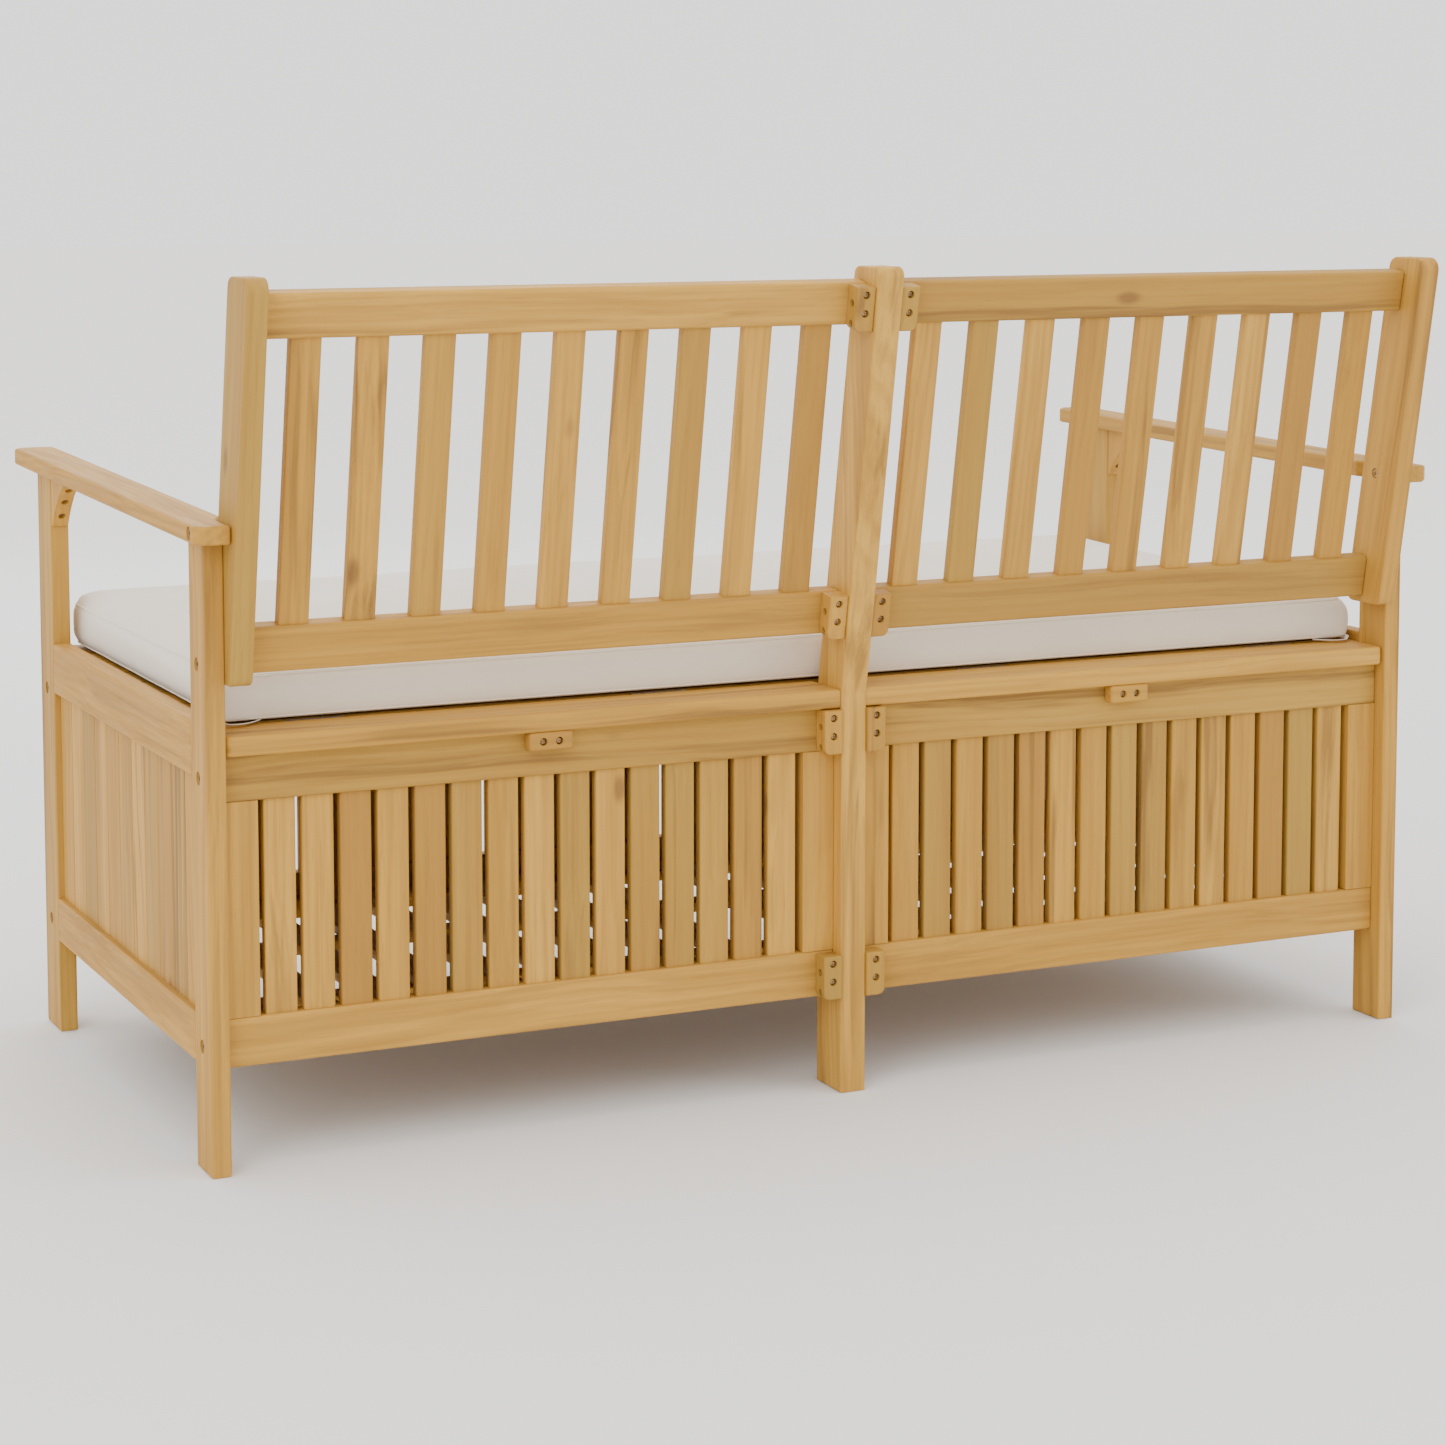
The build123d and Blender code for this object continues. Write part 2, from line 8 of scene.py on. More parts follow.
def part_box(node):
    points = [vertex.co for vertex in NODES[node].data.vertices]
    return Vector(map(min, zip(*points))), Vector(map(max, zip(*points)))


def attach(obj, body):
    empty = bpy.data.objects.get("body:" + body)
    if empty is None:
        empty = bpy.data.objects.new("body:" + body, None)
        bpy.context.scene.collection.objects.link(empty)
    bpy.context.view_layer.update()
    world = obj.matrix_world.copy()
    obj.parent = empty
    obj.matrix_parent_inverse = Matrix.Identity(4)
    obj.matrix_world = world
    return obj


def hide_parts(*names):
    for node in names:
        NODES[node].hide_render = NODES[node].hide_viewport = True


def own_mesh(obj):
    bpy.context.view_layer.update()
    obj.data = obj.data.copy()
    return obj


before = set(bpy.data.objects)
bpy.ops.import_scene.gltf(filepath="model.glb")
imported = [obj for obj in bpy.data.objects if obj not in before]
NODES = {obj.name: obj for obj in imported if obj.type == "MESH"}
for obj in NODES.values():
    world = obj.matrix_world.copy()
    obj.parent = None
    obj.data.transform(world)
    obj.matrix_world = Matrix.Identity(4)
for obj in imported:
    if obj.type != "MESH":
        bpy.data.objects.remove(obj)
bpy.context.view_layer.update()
MM = 0.001


# ---- camera, light and floor ---------------------------------------------------------
def make_camera():
    """Eye-level view of the back, from the sitter's left, framed a little below its axis."""
    data = bpy.data.cameras.new("camera")
    data.lens = 82.33
    data.sensor_width = 36
    data.shift_x = -0.0105
    data.shift_y = -0.18
    data.clip_end = 50
    camera = bpy.data.objects.new("camera", data)
    camera.location = (1.5616, 3.3062, 0.9800)
    heading, pitch = 205.464, -5.395
    camera.rotation_euler = Euler((math.radians(90 + pitch), 0, math.radians(-heading)))
    bpy.context.scene.collection.objects.link(camera)
    bpy.context.scene.camera = camera


def area_light(name, place, target, size, power, tint=(1, 1, 1)):
    data = bpy.data.lights.new(name, "AREA")
    data.shape = "RECTANGLE"
    data.size, data.size_y = size
    data.energy = power
    data.color = tint
    light = bpy.data.objects.new(name, data)
    light.location = place
    light.rotation_euler = (Vector(target) - Vector(place)).to_track_quat("-Z", "Y").to_euler()
    bpy.context.scene.collection.objects.link(light)


def make_studio():
    """Pale floor under a bright, nearly even sky, with a soft key from the camera's left."""
    world = bpy.data.worlds.new("studio")
    world.use_nodes = True
    sky = world.node_tree.nodes["Background"]
    sky.inputs["Color"].default_value = (1.0, 0.99, 0.975, 1)
    sky.inputs["Strength"].default_value = 1.7
    bpy.context.scene.world = world
    middle = (0, 0, 0.4)
    area_light("key", (3.4, 3.2, 3.2), middle, (2.2, 2.2), 60, (1, 0.985, 0.96))
    area_light("fill", (-3.6, 3.4, 1.9), middle, (2.4, 2.0), 20, (0.97, 0.985, 1))
    area_light("front", (-0.6, -3.8, 2.6), middle, (3.0, 2.0), 45)
    area_light("top", (0, 0.2, 3.6), (0, 0, 0), (3.0, 2.4), 30)

    bpy.ops.mesh.primitive_plane_add(size=60, location=(0, 0, -0.0005))
    floor = bpy.context.object
    floor.name = "floor"
    paint = new_material("floor_paint")
    g = Graph(paint.node_tree)
    shader = paint.node_tree.nodes["Principled BSDF"]
    spread = g.vector("LENGTH", paint.node_tree.nodes.new("ShaderNodeTexCoord").outputs["Object"])
    far = g.span(spread, 1.5, 6.0)
    g.put(shader.inputs["Base Color"], g.mix(far, (0.86, 0.855, 0.845, 1), (1, 0.99, 0.975, 1)))
    shader.inputs["Roughness"].default_value = 1.0
    shader.inputs["Specular IOR Level"].default_value = 0.0
    floor.data.materials.append(paint)


# ---- shader building blocks ------------------------------------------------------------
def new_material(name):
    material = bpy.data.materials.new(name)
    material.use_nodes = True
    return material


class Graph:
    """Short way to add and wire shader nodes in one tree."""

    def __init__(self, tree):
        self.tree = tree

    def put(self, target, value):
        """Wire a socket into target, or set target's value."""
        if isinstance(value, bpy.types.NodeSocket):
            self.tree.links.new(value, target)
        elif value is not None:
            target.default_value = value

    def math(self, operation, a, b=None, clamp=False):
        node = self.tree.nodes.new("ShaderNodeMath")
        node.operation = operation
        node.use_clamp = clamp
        self.put(node.inputs[0], a)
        self.put(node.inputs[1], b)
        return node.outputs[0]

    def vector(self, operation, a, b=None):
        node = self.tree.nodes.new("ShaderNodeVectorMath")
        node.operation = operation
        self.put(node.inputs[0], a)
        self.put(node.inputs[1], b)
        return node.outputs["Value" if operation in ("LENGTH", "DOT_PRODUCT") else "Vector"]

    def split(self, vector):
        node = self.tree.nodes.new("ShaderNodeSeparateXYZ")
        self.put(node.inputs[0], vector)
        return node.outputs

    def join(self, x, y, z):
        node = self.tree.nodes.new("ShaderNodeCombineXYZ")
        for target, value in zip(node.inputs, (x, y, z)):
            self.put(target, value)
        return node.outputs[0]

    def noise(self, vector, scale, detail=2.0, roughness=0.5, distortion=0.0):
        node = self.tree.nodes.new("ShaderNodeTexNoise")
        self.put(node.inputs["Vector"], vector)
        self.put(node.inputs["Scale"], scale)
        self.put(node.inputs["Detail"], detail)
        self.put(node.inputs["Roughness"], roughness)
        self.put(node.inputs["Distortion"], distortion)
        return node.outputs["Fac"]

    def white(self, value):
        node = self.tree.nodes.new("ShaderNodeTexWhiteNoise")
        node.noise_dimensions = "1D"
        self.put(node.inputs["W"], value)
        return node.outputs

    def span(self, value, low, high, to_low=0.0, to_high=1.0):
        """Map low..high to to_low..to_high, held at both ends."""
        node = self.tree.nodes.new("ShaderNodeMapRange")
        node.interpolation_type = "SMOOTHSTEP"
        for name, number in (("Value", value), ("From Min", low), ("From Max", high),
                             ("To Min", to_low), ("To Max", to_high)):
            self.put(node.inputs[name], number)
        return node.outputs["Result"]

    def mix(self, share, a, b, mode="MIX"):
        node = self.tree.nodes.new("ShaderNodeMix")
        node.data_type = "RGBA"
        node.blend_type = mode
        self.put(node.inputs["Factor"], share)
        self.put(node.inputs["A"], a)
        self.put(node.inputs["B"], b)
        return node.outputs["Result"]

    def ramp(self, share, stops):
        node = self.tree.nodes.new("ShaderNodeValToRGB")
        elements = node.color_ramp.elements
        while len(elements) < len(stops):
            elements.new(0.5)
        for element, (position, colour) in zip(elements, stops):
            element.position = position
            element.color = (*colour, 1)
        self.put(node.inputs[0], share)
        return node.outputs["Color"]

    def bump(self, height, strength, distance):
        node = self.tree.nodes.new("ShaderNodeBump")
        self.put(node.inputs["Height"], height)
        self.put(node.inputs["Strength"], strength)
        self.put(node.inputs["Distance"], distance)
        return node.outputs["Normal"]


# ---- acacia wood -------------------------------------------------------------------------
# One shared group: boards cut from different places of a trunk, with the grain along local X.
PALE = (0.61, 0.335, 0.058)
HONEY = (0.53, 0.278, 0.042)
TAN = (0.40, 0.200, 0.033)
OLIVE = (0.37, 0.226, 0.040)
STREAK = (0.20, 0.098, 0.024)
RING = (0.33, 0.170, 0.030)
GRAIN_LINE = (0.31, 0.155, 0.030)
PORE = (0.23, 0.110, 0.026)
KNOT = (0.17, 0.080, 0.028)


def make_acacia():
    """Group: position in metres with the grain along X, and a board number, to wood."""
    tree = bpy.data.node_groups.new("acacia", "ShaderNodeTree")
    for name, kind in (("Position", "NodeSocketVector"), ("Board", "NodeSocketFloat")):
        tree.interface.new_socket(name, in_out="INPUT", socket_type=kind)
    for name, kind in (("Color", "NodeSocketColor"), ("Roughness", "NodeSocketFloat"),
                       ("Height", "NodeSocketFloat")):
        tree.interface.new_socket(name, in_out="OUTPUT", socket_type=kind)
    g = Graph(tree)
    inputs = tree.nodes.new("NodeGroupInput").outputs
    outputs = tree.nodes.new("NodeGroupOutput").inputs

    luck = g.white(inputs["Board"])
    tone, tint, third = g.split(luck["Color"])
    offset = g.vector("SCALE", luck["Color"], None)
    offset.node.inputs["Scale"].default_value = 7.3
    place = g.vector("ADD", inputs["Position"], offset)
    x, y, z = g.split(place)

    # grain that wanders slowly along the board
    slow = g.join(g.math("MULTIPLY", x, 2.2), g.math("MULTIPLY", y, 7), g.math("MULTIPLY", z, 7))
    wander = g.math("SUBTRACT", g.noise(slow, 1.0, 2.0, 0.45), 0.5)
    sway = g.math("MULTIPLY", wander, 0.055)
    yy = g.math("ADD", y, sway)
    zz = g.math("ADD", z, g.math("MULTIPLY", sway, 0.6))

    # growth rings about a pith beside the board
    _, own_y, own_z = g.split(inputs["Position"])
    ring_y = g.math("ADD", g.math("ADD", own_y, sway),
                    g.math("MULTIPLY", g.math("SUBTRACT", tone, 0.5), 0.16))
    ring_z = g.math("ADD", own_z, g.math("ADD", g.math("MULTIPLY", third, 0.11), 0.03))
    lean = g.math("MULTIPLY", x, g.math("MULTIPLY", g.math("SUBTRACT", tint, 0.5), 0.035))
    radius = g.vector("LENGTH", g.join(0.0, g.math("ADD", ring_y, lean), ring_z))
    uneven = g.noise(g.join(g.math("MULTIPLY", x, 1.2), g.math("MULTIPLY", yy, 30),
                            g.math("MULTIPLY", zz, 30)), 1.0, 2.0)
    phase = g.math("ADD", g.math("MULTIPLY", radius, 760), g.math("MULTIPLY", uneven, 9))
    wave = g.math("SINE", phase)
    rings = g.span(wave, -0.2, 1.0)

    # fibres at three sizes
    def streaks(along, across, detail=3.0):
        return g.noise(g.join(g.math("MULTIPLY", x, along), g.math("MULTIPLY", yy, across),
                              g.math("MULTIPLY", zz, across)), 1.0, detail, 0.6)

    broad = streaks(1.6, 34)
    medium = streaks(5, 190)
    fine = streaks(16, 900, 2.0)
    heart = streaks(0.9, 52, 2.0)

    board_tone = g.ramp(tone, [(0.0, TAN), (0.32, HONEY), (0.55, HONEY), (0.85, PALE), (1.0, PALE)])
    olive = g.mix(g.span(tint, 0.50, 1.0, 0.0, 0.85), board_tone, (*OLIVE, 1))
    drift = g.mix(g.span(broad, 0.40, 0.68, 0.0, 0.65), olive, (*TAN, 1))
    dashes = g.span(medium, 0.30, 0.62, 0.35, 1.0)
    share = g.math("MULTIPLY", g.span(heart, 0.52, 0.66), g.span(third, 0.15, 1.0, 0.18, 0.92))
    dark = g.mix(g.math("MULTIPLY", share, dashes), drift, (*STREAK, 1))
    lined = g.mix(g.math("MULTIPLY", rings, 0.22), dark, (*RING, 1))
    grained = g.mix(g.span(medium, 0.40, 0.75, 0.0, 0.34), lined, (*GRAIN_LINE, 1))
    pored = g.mix(g.span(fine, 0.56, 0.75, 0.0, 0.26), grained, (*PORE, 1))

    # a few small knots, long along the grain
    cells = tree.nodes.new("ShaderNodeTexVoronoi")
    cells.inputs["Scale"].default_value = 1.0
    g.put(cells.inputs["Vector"], g.join(g.math("MULTIPLY", x, 8), g.math("MULTIPLY", y, 17),
                                         g.math("MULTIPLY", z, 17)))
    chosen = g.math("GREATER_THAN", g.split(cells.outputs["Color"])[0], 0.70)
    knot = g.math("MULTIPLY", g.span(cells.outputs["Distance"], 0.05, 0.17, 1.0, 0.0), chosen)
    knotted = g.mix(g.math("MULTIPLY", knot, 0.7), pored, (*KNOT, 1))
    g.put(outputs["Color"], knotted)
    g.put(outputs["Roughness"], g.span(medium, 0.25, 0.8, 0.50, 0.66))
    height = g.math("ADD", g.math("MULTIPLY", medium, 0.6),
                    g.math("ADD", g.math("MULTIPLY", fine, 0.5), g.math("MULTIPLY", rings, 0.15)))
    g.put(outputs["Height"], height)
    return tree


BACK_LEAN = math.radians(10.4)
FIRST_SEED, SEED_STEP = 3.1, 1.71
# turns that bring the grain of a board from the named direction to local X
GRAIN = {
    "x": (0, 0, 0),
    "y": (0, 0, math.radians(-90)),
    "z": (0, math.radians(90), 0),
    "lean": (BACK_LEAN, math.radians(90), 0),
}


def wood(name, acacia, grain, seed, pitch=None, start=0.0, row="x"):
    """Wood for one node. A row of boards gets a new board number every pitch along row."""
    material = new_material(name)
    tree = material.node_tree
    g = Graph(tree)
    shader = tree.nodes["Principled BSDF"]
    position = tree.nodes.new("ShaderNodeTexCoord").outputs["Object"]
    turn = tree.nodes.new("ShaderNodeVectorRotate")
    turn.rotation_type = "EULER_XYZ"
    turn.inputs["Rotation"].default_value = GRAIN[grain]
    g.put(turn.inputs["Vector"], position)
    group = tree.nodes.new("ShaderNodeGroup")
    group.node_tree = acacia
    g.put(group.inputs["Position"], turn.outputs[0])
    if pitch:
        along = g.split(position)["xyz".index(row)]
        number = g.math("FLOOR", g.math("DIVIDE", g.math("SUBTRACT", along, start), pitch))
        g.put(group.inputs["Board"], g.math("ADD", g.math("MULTIPLY", number, 1.37), seed))
    else:
        group.inputs["Board"].default_value = seed
    g.put(shader.inputs["Base Color"], group.outputs["Color"])
    g.put(shader.inputs["Roughness"], group.outputs["Roughness"])
    g.put(shader.inputs["Normal"], g.bump(group.outputs["Height"], 0.35, 0.0006))
    shader.inputs["Specular IOR Level"].default_value = 0.2
    return material


def dress(node, material):
    """Give a CAD node its material; its shape stays."""
    if not NODES[node].material_slots:
        NODES[node].data.materials.append(material)
    for entry in NODES[node].material_slots:
        entry.material = material


def dress_wood():
    acacia = make_acacia()
    single = {
        "x": ["front_top_rail", "front_bottom_rail"],
        "z": ["centre_back_post"],
        "y": [],
        "lean": [],
    }
    for side in ("left", "right"):
        single["x"] += [f"{name}_{side}" for name in (
            "back_lower_rail", "back_top_rail", "rear_top_rail", "rear_bottom_rail", "seat_rear_rail")]
        single["y"] += [f"{name}_{side}" for name in (
            "armrest", "side_top_rail", "side_bottom_rail", "lid_cleat")]
        single["z"] += [f"{name}_{side}" for name in ("rear_leg", "front_leg", "arm_bracket")]
        single["lean"] += [f"back_post_{side}"]
    seed = FIRST_SEED
    for grain, names in single.items():
        for name in names:
            seed += SEED_STEP
            dress(name, wood(name, acacia, grain, seed))

    # rows of boards: grain, direction of the row, number of boards, width of one board
    rows = {
        "back_slats_left": ("lean", 0, 9, 31), "back_slats_right": ("lean", 0, 9, 31),
        "rear_slats_left": ("z", 0, 15, 32), "rear_slats_right": ("z", 0, 15, 32),
        "front_slats": ("z", 0, 33, 32), "floor_slats": ("y", 0, 20, 31),
        "side_boards_left": ("z", 1, 11, 49), "side_boards_right": ("z", 1, 11, 49),
        "rear_stiles_left": ("z", 0, 2, 36), "rear_stiles_right": ("z", 0, 2, 36),
        "front_stiles": ("z", 0, 2, 31), "floor_bearers": ("x", 1, 2, 30),
        "floor_ledges": ("x", 1, 2, 20), "lid_slats": ("x", 1, 8, 66),
        "lid_battens": ("y", 0, 4, 40), "corner_blocks_left": ("z", 2, 4, 46),
        "corner_blocks_right": ("z", 2, 4, 46), "seat_rail_blocks": ("x", 0, 2, 47),
    }
    for name, (grain, axis, count, width) in rows.items():
        seed += SEED_STEP
        low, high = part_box(name)
        pitch = (high[axis] - low[axis] - width * MM) / (count - 1)
        start = low[axis] - (pitch - width * MM) / 2
        dress(name, wood(name, acacia, grain, seed, pitch, start, "xyz"[axis]))


# ---- metal -------------------------------------------------------------------------------
def metal(name, colour, worn, roughness):
    """Plated steel with cloudy tarnish and fine scratches."""
    material = new_material(name)
    tree = material.node_tree
    g = Graph(tree)
    shader = tree.nodes["Principled BSDF"]
    position = tree.nodes.new("ShaderNodeTexCoord").outputs["Object"]
    cloud = g.noise(position, 240, 4.0, 0.6)
    scratch = g.noise(g.vector("MULTIPLY", position, (400, 2600, 2600)), 1.0, 2.0)
    g.put(shader.inputs["Base Color"], g.mix(g.span(cloud, 0.4, 0.7), (*colour, 1), (*worn, 1)))
    g.put(shader.inputs["Roughness"], g.span(cloud, 0.3, 0.7, roughness, roughness + 0.2))
    g.put(shader.inputs["Normal"], g.bump(scratch, 0.2, 0.0002))
    shader.inputs["Metallic"].default_value = 0.85
    return material


def dress_metal():
    bronze = metal("bronzed_steel", (0.40, 0.25, 0.11), (0.22, 0.13, 0.06), 0.36)
    zinc = metal("zinc_plate", (0.55, 0.53, 0.49), (0.40, 0.38, 0.34), 0.32)
    for name in ("wood_screws", "frame_bolts"):
        dress(name, bronze)
    for name in ("hinge_seat_leaves", "hinge_lid_leaves", "hinge_pins"):
        dress(name, zinc)


# ---- cushion -------------------------------------------------------------------------------
def cotton(name, colour, crease=1.0):
    """Cream woven cloth: fine plain weave, soft mottling and faint creases."""
    material = new_material(name)
    tree = material.node_tree
    g = Graph(tree)
    shader = tree.nodes["Principled BSDF"]
    position = tree.nodes.new("ShaderNodeTexCoord").outputs["Object"]
    x, y, z = g.split(position)
    thread = 2 * math.pi / THREAD_PITCH
    warp = g.math("SINE", g.math("MULTIPLY", g.math("ADD", x, g.math("MULTIPLY", z, 0.7)), thread))
    weft = g.math("SINE", g.math("MULTIPLY", g.math("ADD", y, g.math("MULTIPLY", z, 0.7)), thread))
    weave = g.math("MULTIPLY", warp, weft)
    slub = g.noise(g.vector("MULTIPLY", position, (60, 900, 900)), 1.0, 2.0)
    mottle = g.noise(position, 9, 3.0)
    darker = tuple(c * 0.93 for c in colour)
    shade = g.mix(g.span(mottle, 0.35, 0.7, 0.0, 0.5), (*colour, 1), (*darker, 1))
    threads = g.mix(g.span(g.math("ADD", g.math("MULTIPLY", weave, 0.5), slub), 0.2, 1.1, 0.0, 0.22),
                    shade, (*(c * 0.80 for c in colour), 1))
    g.put(shader.inputs["Base Color"], threads)
    rumple = g.noise(g.vector("MULTIPLY", position, (14, 20, 26)), 1.0, 3.0, 0.5, 0.6)
    relief = g.math("ADD", g.math("MULTIPLY", weave, 0.10), g.math("MULTIPLY", rumple, 3.0 * crease))
    g.put(shader.inputs["Normal"], g.bump(g.math("ADD", relief, g.math("MULTIPLY", slub, 0.15)), 0.5, 0.0011))
    shader.inputs["Roughness"].default_value = 0.9
    shader.inputs["Sheen Weight"].default_value = 0.18
    shader.inputs["Sheen Roughness"].default_value = 0.5
    shader.inputs["Specular IOR Level"].default_value = 0.2
    return material


LOW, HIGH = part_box("cushion")
CORNER = 14 * MM
EDGE_ZONE = 0.03                # how far in from the outline the sides and corners are shaped
SHELL_BASE, SHELL_RISE = 0.03, 0.9      # foot and height of the shell, as shares of the height
SEAM_LEVELS, SEAM_BAND = (0.03, 0.93), 0.10
VOXEL, QUICK_VOXEL = 0.009, 0.016
SWELL_LIMIT = 0.005
CROWN, CROWN_REACH = 0.009, 0.06
TILT = 0.012                    # how much lower the top is at the rear than at the front
EAR_X, EAR_Y, EAR_FADE = 0.017, 0.006, 0.030    # pull on the rear corners
THREAD_PITCH = 0.0011


def rounded_outline(inset, step=8 * MM):
    """Closed list of points round the cushion's plan; it has as many at every inset."""
    centres = [(HIGH.x - CORNER, HIGH.y - CORNER), (LOW.x + CORNER, HIGH.y - CORNER),
               (LOW.x + CORNER, LOW.y + CORNER), (HIGH.x - CORNER, LOW.y + CORNER)]
    points = []
    for side, (cx, cy) in enumerate(centres):
        for i in range(7):
            angle = math.radians(90 * side + 15 * i)
            out = Vector((math.cos(angle), math.sin(angle)))
            points.append(Vector((cx, cy)) + out * (CORNER - inset))
        after = Vector(centres[(side + 1) % 4]) + out * (CORNER - inset)
        count = int((Vector(centres[(side + 1) % 4]) - Vector((cx, cy))).length / step)
        start = points[-1]
        points += [start.lerp(after, i / count) for i in range(1, count)]
    return points


def cushion_shell():
    """Boxed slab: its plan shrinks towards the seams at the top and bottom edges."""
    mesh = bpy.data.meshes.new("cushion_shell")
    shell = bmesh.new()
    height = HIGH.z - LOW.z
    rings = [(0.003, 0.013), (0.03, 0.005), (0.14, 0.0015), (0.32, 0.0), (0.62, 0.0), (0.78, 0.0015),
             (0.90, 0.005), (0.98, 0.011), (1.03, 0.022)]
    loops = []
    for level, inset in rings:
        points = rounded_outline(inset)
        for p in points:
            if p.y > HIGH.y - EDGE_ZONE:
                p.y += 0.6 * inset
                p.x += math.copysign(0.5 * inset, p.x) if abs(p.x) > HIGH.x - EDGE_ZONE else 0
        z = LOW.z + height * (SHELL_BASE + SHELL_RISE * level)
        loops.append([shell.verts.new((p.x, p.y, z)) for p in points])
    for low_loop, high_loop in zip(loops, loops[1:]):
        for i in range(len(low_loop)):
            j = (i + 1) % len(low_loop)
            shell.faces.new((low_loop[i], low_loop[j], high_loop[j], high_loop[i]))
    shell.faces.new(list(reversed(loops[0])))
    shell.faces.new(loops[-1])
    shell.to_mesh(mesh)
    shell.free()
    return mesh


def make_cushion_body():
    body = bpy.data.objects.new("seat_cushion", cushion_shell())
    bpy.context.scene.collection.objects.link(body)
    remesh = body.modifiers.new("remesh", "REMESH")
    remesh.mode = "VOXEL"
    remesh.voxel_size = VOXEL
    apply_all(body)
    rest = [v.co.copy() for v in body.data.vertices]
    inflate(body)
    settle(body, rest)
    smooth = body.modifiers.new("subdivide", "SUBSURF")
    smooth.levels = smooth.render_levels = 1
    apply_all(body)
    body.data.polygons.foreach_set("use_smooth", [True] * len(body.data.polygons))
    return body


def apply_all(obj):
    """Bake an object's modifiers into its mesh."""
    depsgraph = bpy.context.evaluated_depsgraph_get()
    mesh = bpy.data.meshes.new_from_object(obj.evaluated_get(depsgraph))
    obj.modifiers.clear()
    obj.data = mesh


def inflate(body):
    """Blow the cover up a little, as its filling does, with the seams held in."""
    group = body.vertex_groups.new(name="seams")
    height = HIGH.z - LOW.z
    for vertex in body.data.vertices:
        level = (vertex.co.z - LOW.z) / height
        at_rim = rim_distance(vertex.co.x, vertex.co.y) < 0.020
        seam = at_rim and any(abs(level - place) < SEAM_BAND for place in SEAM_LEVELS)
        if seam or level < 0.06:
            group.add([vertex.index], 1.0, "REPLACE")
    cloth = body.modifiers.new("cloth", "CLOTH")
    settings = cloth.settings
    settings.quality = 5
    settings.mass = 0.4
    settings.tension_stiffness = 18
    settings.compression_stiffness = 12
    settings.shear_stiffness = 8
    settings.bending_stiffness = 1.2
    settings.use_pressure = True
    settings.uniform_pressure_force = 4.0
    settings.vertex_group_mass = "seams"
    settings.pin_stiffness = 1.5
    settings.effector_weights.gravity = 0
    scene = bpy.context.scene
    cloth.point_cache.frame_start, cloth.point_cache.frame_end = 1, 20
    for number in range(1, 21):
        scene.frame_set(number)
    apply_all(body)
    scene.frame_set(1)


def rim_distance(x, y):
    """How far a point of the plan lies inside the cushion's outline, corners included."""
    dx = max(HIGH.x - abs(x), 0)
    dy = min(HIGH.y - y, y - LOW.y)
    if dx < CORNER and dy < CORNER:
        return CORNER - math.hypot(CORNER - dx, CORNER - dy)
    return min(dx, dy)


def settle(body, rest):
    """Limit the swelling, rest the underside on the lid, crown and dent the top, shape the corners."""
    for vertex, start in zip(body.data.vertices, rest):
        moved = vertex.co - start
        if moved.length > SWELL_LIMIT:
            vertex.co = start + moved * (SWELL_LIMIT / moved.length)
        x, y, z = vertex.co
        inside = max(rim_distance(x, y), 0.0)
        level = (start.z - LOW.z) / (HIGH.z - LOW.z)
        if level > 0.5:
            crown = CROWN * (1 - math.exp(-inside / CROWN_REACH))
            dent = 0.0022 * noise.noise(Vector((x * 5.5, y * 6.5, 3.0)))
            dent += 0.0008 * noise.noise(Vector((x * 17, y * 21, 9.0)))
            vertex.co.z += (crown + dent) * min(inside / 0.02, 1)
            vertex.co.z += TILT / 2 - TILT * (y - LOW.y) / (HIGH.y - LOW.y)
        side = 0.0010 * noise.noise(Vector((x * 15, y * 15, z * 24)))
        if 0.15 < level < 0.85 and inside < EDGE_ZONE:
            outward = Vector((x / HIGH.x if abs(abs(x) - HIGH.x) < EDGE_ZONE else 0,
                              math.copysign(1, y) if abs(x) < HIGH.x - EDGE_ZONE else 0, 0))
            vertex.co += outward * side
        vertex.co.z = max(vertex.co.z, LOW.z + 0.0006)
        vertex.co.x = max(min(vertex.co.x, HIGH.x), LOW.x)
        vertex.co.y = max(min(vertex.co.y, HIGH.y + 0.002), LOW.y - 0.004)
        ear = math.exp(-((HIGH.x - abs(vertex.co.x)) + (HIGH.y - vertex.co.y)) / EAR_FADE)
        vertex.co += Vector((math.copysign(EAR_X, x), EAR_Y, 0)) * ear


def seam_path(tree, level, inset):
    """Points on the cover at a height, all round, for a seam that lies in the cloth."""
    height = LOW.z + (HIGH.z - LOW.z) * level
    path = []
    for p in rounded_outline(inset, 12 * MM):
        found, normal, _, _ = tree.find_nearest(Vector((p.x, p.y, height)))
        point = found - normal * 0.0001
        path.append(Vector((point.x, point.y, height + (found.z - height) * 0.25)))
    return path


def tube(name, path, radius, closed=True, sides=10):
    """Round cord through the path, as a mesh."""
    curve = bpy.data.curves.new(name, "CURVE")
    curve.dimensions = "3D"
    curve.bevel_depth = radius
    curve.bevel_resolution = sides // 2 - 1
    spline = curve.splines.new("POLY")
    spline.points.add(len(path) - 1)
    for point, place in zip(spline.points, path):
        point.co = (*place, 1)
    spline.use_cyclic_u = closed
    maker = bpy.data.objects.new(name + "_maker", curve)
    bpy.context.scene.collection.objects.link(maker)
    depsgraph = bpy.context.evaluated_depsgraph_get()
    depsgraph.update()
    mesh = bpy.data.meshes.new_from_object(maker.evaluated_get(depsgraph))
    bpy.data.objects.remove(maker)
    mesh.polygons.foreach_set("use_smooth", [True] * len(mesh.polygons))
    piece = bpy.data.objects.new(name, mesh)
    bpy.context.scene.collection.objects.link(piece)
    return piece


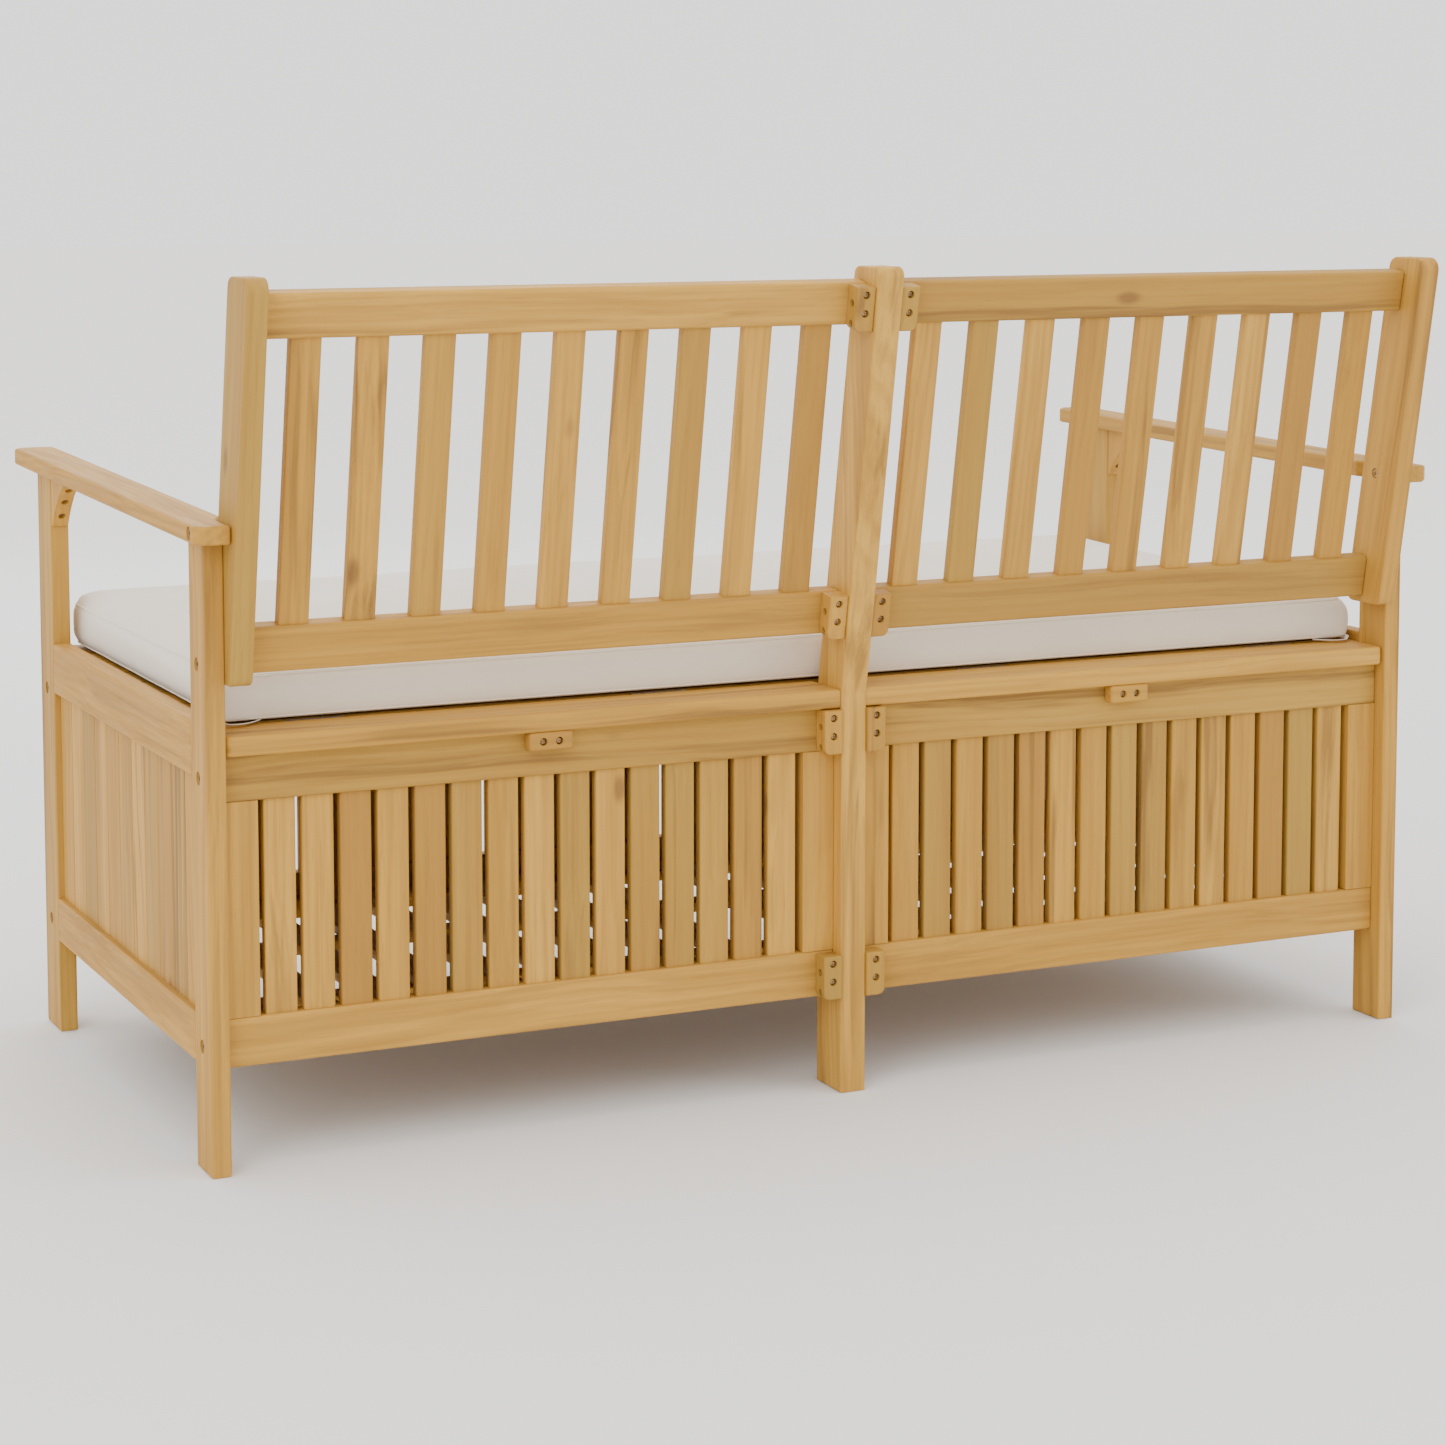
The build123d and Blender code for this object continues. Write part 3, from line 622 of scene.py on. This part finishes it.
def tape(name, path, width, thickness=0.9 * MM):
    """Flat tape that follows the path, its face turned across the path and upright."""
    mesh = bpy.data.meshes.new(name)
    strip = bmesh.new()
    rings = []
    for i, (place, tilt) in enumerate(path):
        before, after = path[max(i - 1, 0)][0], path[min(i + 1, len(path) - 1)][0]
        along = (after - before).normalized()
        across = Vector((0, math.sin(tilt), math.cos(tilt)))
        across = (across - along * across.dot(along)).normalized()
        out = along.cross(across)
        corners = [(-1, -1), (1, -1), (1, 1), (-1, 1)]
        rings.append([strip.verts.new(place + across * width / 2 * a + out * thickness / 2 * b)
                      for a, b in corners])
    for first, second in zip(rings, rings[1:]):
        for k in range(4):
            strip.faces.new((first[k], first[(k + 1) % 4], second[(k + 1) % 4], second[k]))
    strip.faces.new(list(reversed(rings[0])))
    strip.faces.new(rings[-1])
    bmesh.ops.recalc_face_normals(strip, faces=strip.faces)
    strip.to_mesh(mesh)
    strip.free()
    piece = bpy.data.objects.new(name, mesh)
    bpy.context.scene.collection.objects.link(piece)
    bevel = piece.modifiers.new("bevel", "BEVEL")
    bevel.width = 0.25 * MM
    bevel.segments = 2
    smooth = piece.modifiers.new("subdivide", "SUBSURF")
    smooth.levels = smooth.render_levels = 2
    apply_all(piece)
    piece.data.polygons.foreach_set("use_smooth", [True] * len(piece.data.polygons))
    return piece


def tie_path(side):
    """Loop of tape from the rear corner, round and back under the cushion on the seat rail."""
    steps = [(-0.001, -0.016, 0.0060, 0.2), (0.0025, -0.004, 0.0050, 0.4),
             (0.0005, 0.006, 0.0038, 0.9), (-0.006, 0.011, 0.0030, 1.25),
             (-0.018, 0.011, 0.0026, 1.35), (-0.030, 0.005, 0.0026, 1.35),
             (-0.040, -0.004, 0.0030, 1.3)]
    return [(Vector((side * (HIGH.x + x), HIGH.y + y, LOW.z + z)), tilt) for x, y, z, tilt in steps]


def make_cushion():
    cream = cotton("cream_cotton", (0.86, 0.80, 0.69))
    welt = cotton("welt_cotton", (0.88, 0.82, 0.71), crease=0.2)
    body = make_cushion_body()
    body.data.materials.append(cream)
    tree = BVHTree.FromObject(body, bpy.context.evaluated_depsgraph_get())
    pieces = [body]
    for name, level in (("top_seam", 0.84), ("bottom_seam", 0.10)):
        piping = tube(name, seam_path(tree, level, 0.002), 0.8 * MM)
        piping.data.materials.append(welt)
        pieces.append(piping)
    for name, side in (("tie_left", 1), ("tie_right", -1)):
        tie = tape(name, tie_path(side), 6 * MM)
        tie.data.materials.append(welt)
        pieces.append(tie)
    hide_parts("cushion")
    for piece in pieces:
        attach(piece, "lid")
        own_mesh(piece)


# ---- put it together -------------------------------------------------------------------------
make_camera()
make_studio()
dress_wood()
dress_metal()
make_cushion()
